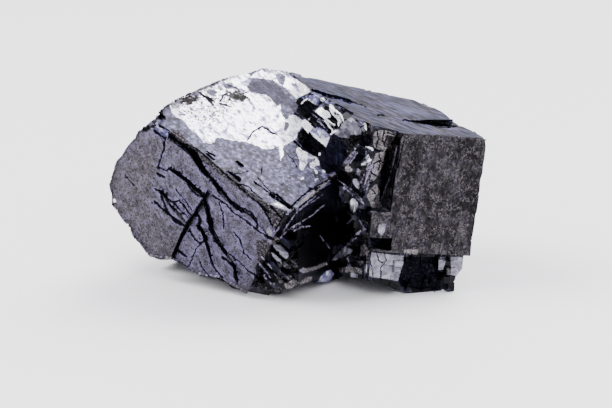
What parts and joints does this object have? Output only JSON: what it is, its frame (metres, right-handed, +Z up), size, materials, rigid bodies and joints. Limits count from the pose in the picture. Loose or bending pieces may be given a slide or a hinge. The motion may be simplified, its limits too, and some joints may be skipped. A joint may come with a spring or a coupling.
{
  "type": "galena specimen",
  "caption": "Intergrown, stepped crystals of a bright grey lead ore mineral, broken off in one piece that lies on a flat cut, for display.",
  "frame": {"origin": "centre of the bounding box's underside, on the flat cut that the specimen lies on", "axes": "+X to the right as seen from the front, +Y to the back, +Z up"},
  "size_m": [0.1002, 0.0752, 0.0557],
  "materials": {
    "galena": "cleaved and broken mineral surface, from mirror bright to dull grey tarnish"
  },
  "bodies": {
    "root": {"galena_specimen": "galena"}
  },
  "joints": []
}
